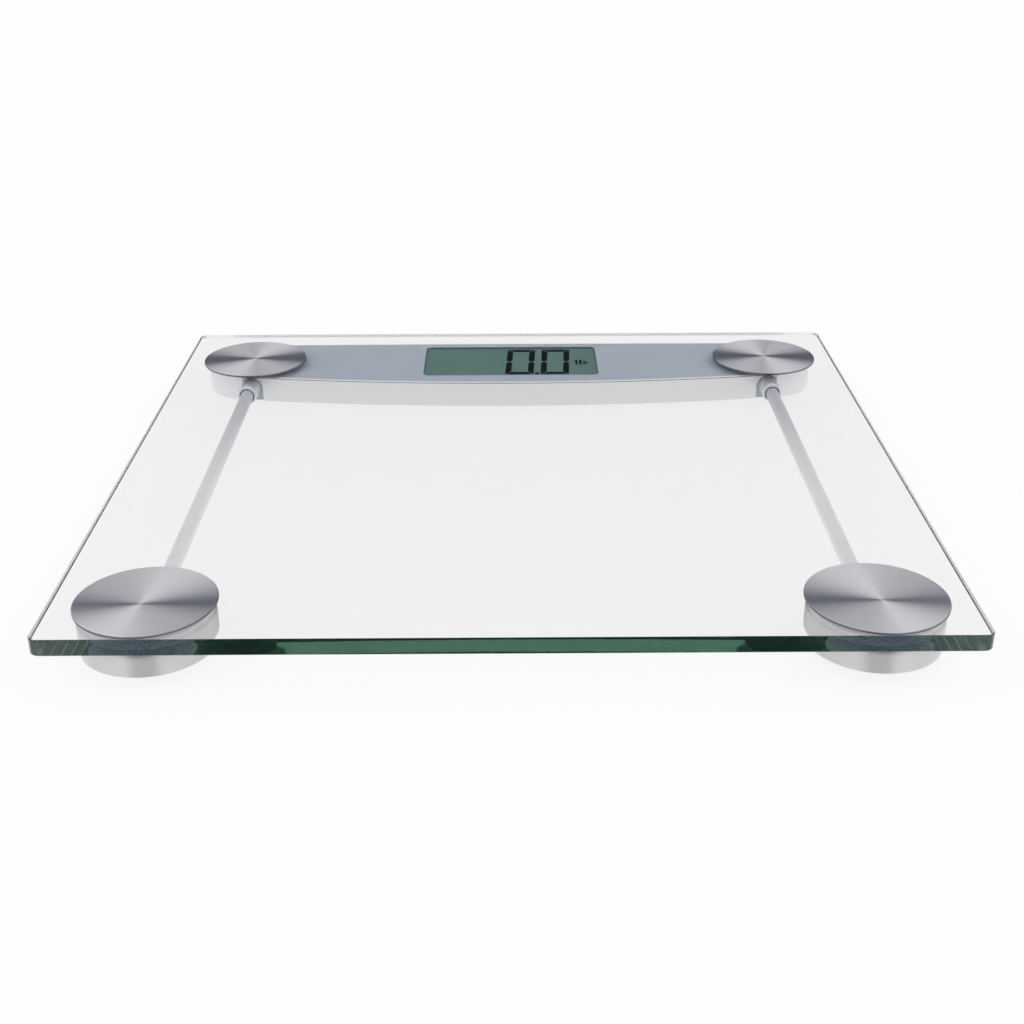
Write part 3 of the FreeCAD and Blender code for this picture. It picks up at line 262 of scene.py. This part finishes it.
def spun_steel():
    """Discs turned on a lathe: fine rings, so that their gloss opens in four fans."""
    finish = Finish("spun_steel", 0.38, metallic=1.0, anisotropic=1.0, anisotropic_rotation=0.25)
    outward = finish.from_turning_centre()
    inputs = [(0, (0.0, 0.0, 1.0)), (1, outward)]
    tangent = finish.node("VectorMath", inputs, operation="CROSS_PRODUCT").outputs[0]
    finish.feed(finish.shader, "Tangent", tangent)
    fine = finish.rings(outward, 160.0, 3.0)
    face = finish.blend(fine, (0.66, 0.65, 0.67, 1.0), (0.84, 0.83, 0.85, 1.0))
    # Painted shade: the disc's faces that are not level, its rim and underside, are near black.
    finish.feed(finish.shader, "Base Color", finish.blend(finish.facing_up(), (0.16, 0.16, 0.18, 1.0), face))
    finish.roughen(fine, 0.34, 0.42)
    finish.bump(fine, 0.006 * MM)
    return finish.material


def silver_painted_shade(finish, at, up):
    """Where the silver paint is painted dark as shade: inside the window's edge, in a thin line under the roof's
    bevel, and on the recesses' floors.
    """
    # Painted shade: the window's inner walls, a thin line on the walls under the roof's bevel, and the recesses'
    # floors are marked for dark paint.
    wall = finish.maths("LESS_THAN", up, 0.5)
    low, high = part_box("lcd_panel")
    across = finish.within(at["X"], (low.x + high.x) / 2, (high.x - low.x) / 2)
    along = finish.within(at["Y"], (low.y + high.y) / 2, (high.y - low.y) / 2)
    window = finish.maths("MULTIPLY", finish.maths("MULTIPLY", across, along), wall)
    shadow_line = finish.maths("COMPARE", at["Z"], BAR_ROOF - SHADOW_LINE_BELOW_ROOF, SHADOW_LINE_HALF)
    dark = finish.maths("MAXIMUM", window, finish.maths("MULTIPLY", shadow_line, wall))
    tube_low, tube_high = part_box("wire_tube_right")
    beside = finish.within(finish.maths("ABSOLUTE", at["X"]), (tube_low.x + tube_high.x) / 2, ARCH_HALF)
    floor = finish.maths("COMPARE", at["Y"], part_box("tube_ring_right")[1].y, ARCH_FLOOR_HALF)
    shaded = finish.maths("MULTIPLY", beside, finish.maths("MULTIPLY", floor, ARCH_SHADE))
    return finish.maths("MAXIMUM", dark, shaded)


def silver_paint():
    """Metallic lacquer on plastic: fine flakes, a cooler tone on the roof, a faint orange peel, and painted shade
    at the window's edge, under the roof's bevel and in the tube recesses.
    """
    finish = Finish("silver_paint", 0.42, metallic=0.4)
    flakes = finish.noise(9000.0, 1.0)
    side = finish.blend(flakes, (0.85, 0.85, 0.86, 1.0), (0.93, 0.93, 0.94, 1.0))
    roof = finish.blend(flakes, (0.70, 0.79, 0.89, 1.0), (0.78, 0.87, 0.97, 1.0))
    at = finish.spot()
    up = finish.facing_up()
    level = finish.spread(at["Z"], BAR_ROOF - 0.15 * MM, BAR_ROOF - 0.05 * MM)
    paint = finish.blend(finish.maths("MULTIPLY", up, level), side, roof)
    # Painted shade: near black-blue paint on the window's inner walls, in a line under the roof's bevel and on the
    # recesses' floors.
    paint = finish.blend(silver_painted_shade(finish, at, up), paint, (0.16, 0.18, 0.22, 1.0))
    finish.feed(finish.shader, "Base Color", paint)
    finish.roughen(finish.noise(120.0, 3.0), 0.39, 0.45)
    finish.bump(flakes, 0.002 * MM)
    return finish.material


def satin_steel():
    """Drawn steel cups, brushed round their walls, with a matt white coat on the roof that has a painted glow, to
    lift the disc's shadow there.
    """
    finish = Finish("satin_steel", 0.45, anisotropic=1.0, anisotropic_rotation=0.25)
    normal = finish.node("NewGeometry").outputs["True Normal"]
    leaning = finish.node("VectorMath", [(0, normal), (1, (0.001, 0.0, 0.0))], operation="ADD").outputs[0]
    inputs = [(0, (0.0, 0.0, 1.0)), (1, leaning)]
    tangent = finish.node("VectorMath", inputs, operation="CROSS_PRODUCT").outputs[0]
    finish.feed(finish.shader, "Tangent", tangent)
    lines = finish.noise(3500.0, 3.0, (0.02, 0.02, 1.0))
    wall = finish.blend(lines, (0.70, 0.695, 0.70, 1.0), (0.82, 0.815, 0.82, 1.0))
    up = finish.facing_up()
    finish.feed(finish.shader, "Base Color", finish.blend(up, wall, (0.95, 0.95, 0.95, 1.0)))
    finish.feed(finish.shader, "Metallic", finish.spread(up, 0.0, 1.0, 0.95, 0.0))
    # Painted light: the roof glows a little, to lift the shadow the disc casts on it.
    finish.feed(finish.shader, "Emission Strength", finish.spread(up, 0.0, 1.0, 0.0, POD_ROOF_PAINTED_GLOW))
    finish.roughen(lines, 0.42, 0.50)
    finish.bump(lines, 0.003 * MM)
    return finish.material


def satin_tube():
    """Drawn tube with fine lines along it, under a pale satin coat, with painted shade that turns it greyer towards
    the bar.
    """
    finish = Finish("satin_tube", 0.45)
    lines = finish.noise(4000.0, 3.0, (1.0, 0.012, 1.0))
    # Painted shade: the coat goes from pale at the front to grey near the bar.
    painted_shade = finish.spread(finish.spot()["Y"], *TUBE_PAINTED_SHADE_SPAN, smooth=True)
    pale = finish.blend(lines, (0.96, 0.955, 0.96, 1.0), (1.0, 0.995, 1.0, 1.0))
    finish.feed(finish.shader, "Base Color", finish.blend(painted_shade, pale, (0.66, 0.66, 0.70, 1.0)))
    finish.roughen(lines, 0.40, 0.51)
    finish.bump(lines, 0.004 * MM)
    return finish.material


def moulded(name, dark, light, roughness, grain=2600.0, depth=0.02, **constants):
    """Plastic from a mould with a fine spark-eroded texture, and a faint drift of colour."""
    finish = Finish(name, roughness, **constants)
    finish.colour(finish.noise(70.0, 4.0), dark, light)
    texture = finish.noise(grain, 3.0)
    finish.roughen(texture, roughness - 0.06, roughness + 0.06)
    finish.bump(texture, depth * MM)
    return finish.material


def plated_steel():
    """Stamped steel with zinc on it: soft spangles, and rolling lines."""
    finish = Finish("plated_steel", 0.34, metallic=1.0)
    spangle = finish.cells(450.0)
    finish.colour(spangle, (0.50, 0.51, 0.53), (0.63, 0.63, 0.64))
    finish.roughen(finish.noise(700.0, 3.0), 0.28, 0.40)
    finish.bump(finish.noise(3500.0, 2.0, (1.0, 0.1, 1.0)), 0.004 * MM)
    return finish.material


def rubber():
    """Matt black rubber with a fine grain and a little dust."""
    finish = Finish("rubber", 0.78, specular_ior_level=0.3)
    finish.colour(finish.noise(350.0, 5.0), (0.018, 0.018, 0.019), (0.05, 0.05, 0.052))
    grain = finish.noise(4200.0, 3.0)
    finish.roughen(grain, 0.7, 0.88)
    finish.bump(grain, 0.03 * MM)
    return finish.material


def foam_tape():
    """Grey acrylic glue: faint cells in it, and a silvery gloss where it wets the glass."""
    finish = Finish("foam_tape", 0.3, metallic=0.35)
    cloud = finish.noise(180.0, 2.0)
    finish.colour(cloud, (0.60, 0.66, 0.75), (0.76, 0.82, 0.92))
    finish.roughen(finish.cells(900.0), 0.26, 0.36)
    return finish.material


def board_green():
    """A green solder mask over copper tracks, which show as slightly raised and lighter."""
    finish = Finish("board_green", 0.32, coat_weight=0.4, coat_roughness=0.12)
    inputs = [("Vector", finish.place()), ("Scale", 300.0)]
    inputs += [("Distortion", 2.2), ("Detail", 1.0), ("Detail Scale", 0.4)]
    wave = finish.node("TexWave", inputs, wave_type="BANDS", bands_direction="DIAGONAL").outputs["Fac"]
    tracks = finish.spread(wave, 0.45, 0.6)
    finish.colour(tracks, (0.012, 0.10, 0.045), (0.03, 0.20, 0.085))
    finish.roughen(finish.noise(500.0, 3.0), 0.26, 0.38)
    finish.bump(tracks, 0.035 * MM)
    return finish.material


def display_glass():
    """A grey-green liquid crystal panel: a matt polariser over a reflector with a fine grain."""
    finish = Finish("display_glass", 0.35, specular_ior_level=0.12)
    grain = finish.noise(3000.0, 3.0)
    drift = finish.noise(40.0, 2.0)
    share = finish.maths("ADD", finish.maths("MULTIPLY", grain, 0.6), finish.maths("MULTIPLY", drift, 0.4))
    finish.colour(share, (0.131, 0.25, 0.215), (0.168, 0.303, 0.265))
    finish.roughen(grain, 0.30, 0.42)
    finish.bump(grain, 0.003 * MM)
    return finish.material


def display_ink():
    """A switched-on segment: near black with a breath of blue."""
    finish = Finish("display_ink", 0.4, specular_ior_level=0.0)
    grain = finish.noise(3000.0, 2.0)
    finish.colour(grain, (0.003, 0.004, 0.008), (0.006, 0.008, 0.014))
    finish.roughen(grain, 0.35, 0.5)
    return finish.material


def wire_insulation():
    """Thin wires side by side, red, white and black, told apart across the lead."""
    finish = Finish("wire_insulation", 0.4)
    across = finish.noise(1400.0, 0.0, (1.0, 0.02, 1.0))
    red_or_black = finish.blend(finish.spread(across, 0.40, 0.42), (0.02, 0.02, 0.02, 1.0), (0.55, 0.03, 0.03, 1.0))
    with_white = finish.blend(finish.spread(across, 0.56, 0.58), red_or_black, (0.8, 0.8, 0.78, 1.0))
    finish.feed(finish.shader, "Base Color", with_white)
    finish.roughen(across, 0.34, 0.46)
    finish.bump(across, 0.1 * MM)
    return finish.material


def turned_metal(name, dark, light, roughness, metallic=1.0):
    """Bright metal with an uneven sheen and a fine grain."""
    finish = Finish(name, roughness, metallic=metallic)
    finish.colour(finish.noise(250.0, 4.0), dark, light)
    fine = finish.noise(5000.0, 2.0)
    finish.roughen(fine, roughness - 0.05, roughness + 0.08)
    finish.bump(fine, 0.003 * MM)
    return finish.material


FINISHES = {
    "clear_glass": clear_glass(),
    "spun_steel": spun_steel(),
    "silver_paint": silver_paint(),
    "satin_steel": satin_steel(),
    "satin_tube": satin_tube(),
    "bright_ring": turned_metal("bright_ring", (0.72, 0.76, 0.82), (0.80, 0.84, 0.90), 0.34, 0.25),
    "display_glass": display_glass(),
    "plated_steel": plated_steel(),
    "rubber": rubber(),
    "foam_tape": foam_tape(),
    "grey_plastic": moulded("grey_plastic", (0.42, 0.44, 0.46), (0.48, 0.50, 0.52), 0.5),
    "dark_plastic": moulded("dark_plastic", (0.045, 0.048, 0.053), (0.07, 0.074, 0.08), 0.42),
    "white_plastic": moulded("white_plastic", (0.74, 0.74, 0.71), (0.82, 0.82, 0.80), 0.4),
    "white_coating": moulded("white_coating", (0.76, 0.76, 0.73), (0.86, 0.86, 0.84), 0.35, 1500.0, 0.05),
    "black_epoxy": moulded("black_epoxy", (0.012, 0.012, 0.013), (0.03, 0.03, 0.032), 0.3, 1800.0, 0.03),
    "wire_insulation": wire_insulation(),
    "board_green": board_green(),
    "bright_metal": turned_metal("bright_metal", (0.66, 0.66, 0.65), (0.78, 0.78, 0.76), 0.22),
    "screw_steel": turned_metal("screw_steel", (0.50, 0.50, 0.50), (0.62, 0.62, 0.61), 0.3),
}


DISPLAY_INK = display_ink()
GLUE_BITE = 0.02 * MM


def paint_nodes():
    """Gives every CAD node the finish of its material slot."""
    for part in frame["record"]["subparts"]:
        piece = NODES[part["node"]]
        piece.data.materials.clear()
        piece.data.materials.append(FINISHES[part["material_slot"]])


def wet_the_glass():
    """Lets glue and tape reach a hair into the glass, so that no film of air shows between them."""
    for name, piece in NODES.items():
        if name.startswith(("glue_pad", "cap_tape")):
            swell = piece.modifiers.new("wet", "DISPLACE")
            swell.mid_level = 0.0
            swell.strength = GLUE_BITE


# ---------------------------------------------------------------- display digits

DIGIT_WIDTH = 13.5 * MM
DIGIT_HEIGHT = 33.9 * MM
DIGIT_STROKE = 2.8 * MM
DIGIT_GAP = 0.35 * MM
DIGIT_PITCH = 16.85 * MM
DIGIT_LEAN = 1.4 * MM
FIRST_DIGIT = 4.7 * MM
DIGITS_ABOVE_MIDDLE = 0.4 * MM
POINT_WIDTH = 2.0 * MM
POINT_GAP = 0.7 * MM
POINT_HEIGHT = 2.2 * MM
UNIT_PLACE = (31.3 * MM, -3.4 * MM)
UNIT_HEIGHT = 6.3 * MM
UNIT_STROKE = 1.0 * MM
UNIT_STEP = 1.85 * UNIT_STROKE
UNIT_BOWL = 4.8 * MM
UNIT_BOWL_REACH = 2.88 * MM
INK_THICKNESS = 0.06 * MM
BOWL_STEPS = 16


def display_middle():
    """The middle of the liquid crystal panel's upper face."""
    low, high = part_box("lcd_panel")
    return Vector(((low.x + high.x) / 2, (low.y + high.y) / 2, high.z))


def ink_piece(name, outlines):
    """Flat shapes of dark crystal on the panel, from outlines about its middle."""
    middle = display_middle()
    mesh = bmesh.new()
    for outline in outlines:
        lower = [mesh.verts.new(middle + Vector((x, y, 0.0))) for x, y in outline]
        face = mesh.faces.new(lower)
        raised = bmesh.ops.extrude_face_region(mesh, geom=[face])
        tops = [item for item in raised["geom"] if isinstance(item, bmesh.types.BMVert)]
        bmesh.ops.translate(mesh, verts=tops, vec=(0.0, 0.0, INK_THICKNESS))
    bmesh.ops.recalc_face_normals(mesh, faces=mesh.faces)
    data = bpy.data.meshes.new(name)
    mesh.to_mesh(data)
    mesh.free()
    data.materials.append(DISPLAY_INK)
    piece = bpy.data.objects.new(name, data)
    SCENE.collection.objects.link(piece)
    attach(piece, "scale_frame")


def leaning(outline, middle_height):
    """Shears an outline to the right as it rises."""
    return [(x + DIGIT_LEAN * (y - middle_height) / DIGIT_HEIGHT, y) for x, y in outline]


def segment_outlines():
    """The outlines of a nought's six segments, about the digit's lower left corner."""
    wide, tall, stroke, gap = DIGIT_WIDTH, DIGIT_HEIGHT, DIGIT_STROKE, DIGIT_GAP
    top = [(gap, tall), (wide - gap, tall), (wide - stroke - gap, tall - stroke), (stroke + gap, tall - stroke)]
    waist = tall / 2 + gap / 2
    right = [
        (wide, tall - gap),
        (wide - stroke, tall - stroke - gap),
        (wide - stroke, waist + stroke / 2),
        (wide - stroke / 2, waist),
        (wide, waist + stroke / 2),
    ]
    left = [(wide - x, y) for x, y in right]
    upper = [top, right, left]
    lower = [[(x, tall - y) for x, y in outline] for outline in upper]
    return upper + lower


def make_digit(name, left):
    """A nought whose lower left corner stands at left, across from the panel's middle."""
    low = DIGITS_ABOVE_MIDDLE - DIGIT_HEIGHT / 2
    placed = [[(x + left, y + low) for x, y in outline] for outline in segment_outlines()]
    ink_piece(name, [leaning(outline, DIGITS_ABOVE_MIDDLE) for outline in placed])


def make_point(left):
    """The decimal point, level with the digits' feet."""
    low = DIGITS_ABOVE_MIDDLE - DIGIT_HEIGHT / 2
    right, high = left + POINT_WIDTH, low + POINT_HEIGHT
    outline = [(left, low), (right, low), (right, high), (left, high)]
    ink_piece("display_point", [leaning(outline, DIGITS_ABOVE_MIDDLE)])


def make_unit():
    """The unit beside the digits, a small l and b."""
    left, low = UNIT_PLACE
    high = low + UNIT_HEIGHT
    stem = left + UNIT_STEP
    strokes = [[(x, low), (x + UNIT_STROKE, low), (x + UNIT_STROKE, high), (x, high)] for x in (left, stem)]
    start, middle = stem + UNIT_STROKE, low + UNIT_BOWL / 2
    turns = [math.pi * (step / BOWL_STEPS - 0.5) for step in range(BOWL_STEPS + 1)]
    outer, inner = (
        [(start + reach * math.cos(turn), middle + rise * math.sin(turn)) for turn in turns]
        for reach, rise in (
            (UNIT_BOWL_REACH, UNIT_BOWL / 2),
            (UNIT_BOWL_REACH - UNIT_STROKE, UNIT_BOWL / 2 - UNIT_STROKE),
        )
    )
    bowl = [[outer[i], outer[i + 1], inner[i + 1], inner[i]] for i in range(BOWL_STEPS)]
    ink_piece("display_unit", strokes + bowl)


def make_display():
    """What the display shows: 0.0 lb."""
    first = -DIGIT_WIDTH / 2 + FIRST_DIGIT
    make_digit("display_digit_units", first)
    make_digit("display_digit_tenths", first + DIGIT_PITCH)
    make_point(first + DIGIT_WIDTH + POINT_GAP)
    make_unit()


# ---------------------------------------------------------------- floor and light

FLOOR_HALF = 20.0
FLOOR_GLOW = 0.85
FLOOR_DARK = (0.915, 0.915, 0.915, 1.0)
FLOOR_LIGHT = (0.93, 0.93, 0.93, 1.0)


def make_floor():
    """A plain pale floor that glows a little, as a lit white table does. From below it can be seen through."""
    data = bpy.data.meshes.new("floor")
    half = FLOOR_HALF
    corners = [(-half, -half, 0.0), (half, -half, 0.0), (half, half, 0.0), (-half, half, 0.0)]
    data.from_pydata(corners, [], [(0, 1, 2, 3)])
    floor = bpy.data.objects.new("floor", data)
    SCENE.collection.objects.link(floor)
    material = bpy.data.materials.new("floor")
    material.use_nodes = True
    tree = Tree(material.node_tree)
    material.node_tree.nodes.remove(material.node_tree.nodes["Principled BSDF"])
    cloud = tree.noise(3.0, 2.0)
    white = tree.blend(cloud, FLOOR_DARK, FLOOR_LIGHT)
    matt = tree.node("BsdfDiffuse", [("Color", white)])
    glow = tree.node("Emission", [("Color", (1.0, 1.0, 1.0, 1.0)), ("Strength", 1.0)])
    lit = tree.node("MixShader", [("Fac", FLOOR_GLOW), (1, matt.outputs[0]), (2, glow.outputs[0])])
    clear = tree.node("BsdfTransparent")
    behind = tree.node("NewGeometry").outputs["Backfacing"]
    both = tree.node("MixShader", [("Fac", behind), (1, lit.outputs[0]), (2, clear.outputs[0])])
    tree.feed(material.node_tree.nodes["Material Output"], "Surface", both.outputs[0])
    data.materials.append(material)


SKY_BRIGHT = (1.25, 1.24, 1.25, 1.0)
SKY_SIDE = (1.10, 1.10, 1.12, 1.0)
SKY_FAR = (0.13, 0.14, 0.175, 1.0)
SKY_NEAR = (0.04, 0.04, 0.05, 1.0)
SKY_BELOW = (0.85, 0.85, 0.85, 1.0)
SKY_SEEN = (0.99, 0.99, 0.99, 1.0)

# Where one tone of the sky goes over to the next, on the unit vector that points at it.
CEILING_RISE = (0.15, 0.6)
FAR_RISE = (0.1, 0.4)
FAR_NARROWING = 0.7
FAR_SIDES = (0.62, 0.85)
NEAR_SIDES = (0.25, 0.45)
NEAR_TOP = (0.6, 0.8)
HORIZON = (-0.05, 0.0)


def make_light():
    """Soft light from all round: a wide white ceiling, and dim walls low behind the platform and before it.

    Straight on, or straight through the glass, the pale backdrop is seen in their place.
    """
    world = bpy.data.worlds.new("studio")
    SCENE.world = world
    world.use_nodes = True
    tree = Tree(world.node_tree)
    way = tree.node("TexCoord").outputs["Generated"]
    parts = tree.node("SeparateXYZ", [("Vector", way)]).outputs
    ceiling = tree.spread(parts["Z"], *CEILING_RISE, smooth=True)
    light = tree.blend(ceiling, SKY_SIDE, SKY_BRIGHT)
    far = tree.spread(parts["Y"], *FAR_RISE, smooth=True)
    sideways = tree.maths("ABSOLUTE", parts["X"])
    apart = tree.maths("ADD", sideways, tree.maths("MULTIPLY", parts["Z"], FAR_NARROWING))
    narrow = tree.spread(apart, *FAR_SIDES, 1.0, 0.0, smooth=True)
    light = tree.blend(tree.maths("MULTIPLY", far, narrow), light, SKY_FAR)
    before = tree.maths("LESS_THAN", parts["Y"], 0.0)
    near = tree.maths("MULTIPLY", tree.spread(sideways, *NEAR_SIDES, 1.0, 0.0), before)
    low = tree.spread(parts["Z"], *NEAR_TOP, 1.0, 0.0, smooth=True)
    light = tree.blend(tree.maths("MULTIPLY", near, low), light, SKY_NEAR)
    light = tree.blend(tree.spread(parts["Z"], *HORIZON, 1.0, 0.0), light, SKY_BELOW)
    path = tree.node("LightPath").outputs
    # A ray that has met nothing but clear glass on its way sees the backdrop.
    unbroken = tree.maths("LESS_THAN", tree.maths("ADD", path["Glossy Depth"], path["Diffuse Depth"]), 0.5)
    straight = tree.maths("MULTIPLY", path["Is Transmission Ray"], unbroken)
    light = tree.blend(tree.maths("MAXIMUM", path["Is Camera Ray"], straight), light, SKY_SEEN)
    background = world.node_tree.nodes["Background"]
    tree.feed(background, "Color", light)


def set_view():
    """Plain display of colours, and enough bounces for light that runs along inside the glass."""
    SCENE.view_settings.view_transform = "Standard"
    SCENE.cycles.max_bounces = 40
    SCENE.cycles.glossy_bounces = 36
    SCENE.cycles.transmission_bounces = 36
    SCENE.cycles.diffuse_bounces = 6


make_camera()
paint_nodes()
wet_the_glass()
make_display()
make_floor()
make_light()
set_view()
